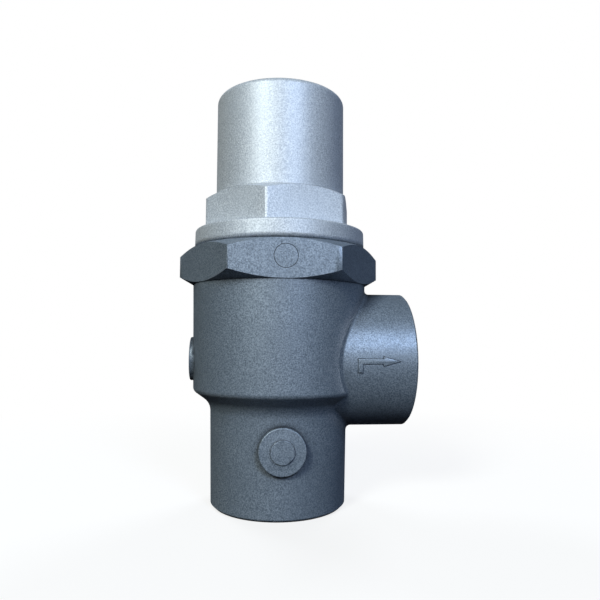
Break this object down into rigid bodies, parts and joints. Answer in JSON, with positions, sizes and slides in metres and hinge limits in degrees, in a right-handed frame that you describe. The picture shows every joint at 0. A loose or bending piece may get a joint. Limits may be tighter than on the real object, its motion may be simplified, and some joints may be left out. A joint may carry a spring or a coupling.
{
  "type": "minimum pressure valve",
  "caption": "Angle-pattern minimum pressure and non-return valve: cast body with threaded ports and a screwed hexagon spring bonnet.",
  "frame": {"origin": "centre of the inlet port's mouth, on the flat end of the neck", "axes": "+Z along the inlet, piston and bonnet axis, away from the inlet; +X along the outlet port, out of the body; -Y is the front"},
  "size_m": [0.0776, 0.06, 0.1396],
  "materials": {
    "body_casting": "blasted and dark blue-grey anodised casting",
    "bonnet_alloy": "blasted and clear anodised, silver",
    "piston_alloy": "turned and hard anodised",
    "turned_steel": "turned stainless steel",
    "spring_steel": "drawn spring wire",
    "bush_bronze": "sintered bronze",
    "seal_rubber": "smooth black fluoroelastomer",
    "guide_plastic": "filled PTFE, off-white"
  },
  "bodies": {
    "housing": {"valve_body": "body_casting", "spring_bonnet": "bonnet_alloy", "bonnet_o_ring": "seal_rubber", "main_spring": "spring_steel", "upper_spring_seat": "turned_steel", "preload_shims": "turned_steel", "lift_stop_ring": "guide_plastic"},
    "piston": {"valve_piston": "piston_alloy", "piston_o_ring": "seal_rubber", "piston_back_up_ring": "guide_plastic", "piston_guide_ring": "guide_plastic", "piston_face_seal": "guide_plastic", "stem_bush": "bush_bronze", "lower_spring_washer": "turned_steel", "check_spring": "spring_steel"},
    "check": {"check_poppet": "turned_steel", "check_seal": "seal_rubber", "seal_plate": "turned_steel", "seal_screw": "turned_steel", "stem_circlip": "spring_steel"}
  },
  "joints": [
    {"name": "piston_lift", "type": "slide", "parent": "housing", "child": "piston", "axis": [0, 0, 1], "range_m": [0, 0.009], "stiffness_N_per_m": 5000, "springref_m": -0.02, "deforming": ["main_spring"]},
    {"name": "check_lift", "type": "slide", "parent": "housing", "child": "check", "axis": [0, 0, 1], "range_m": [0, 0.003], "stiffness_N_per_m": 200, "springref_m": -0.01, "deforming": ["check_spring"]}
  ]
}
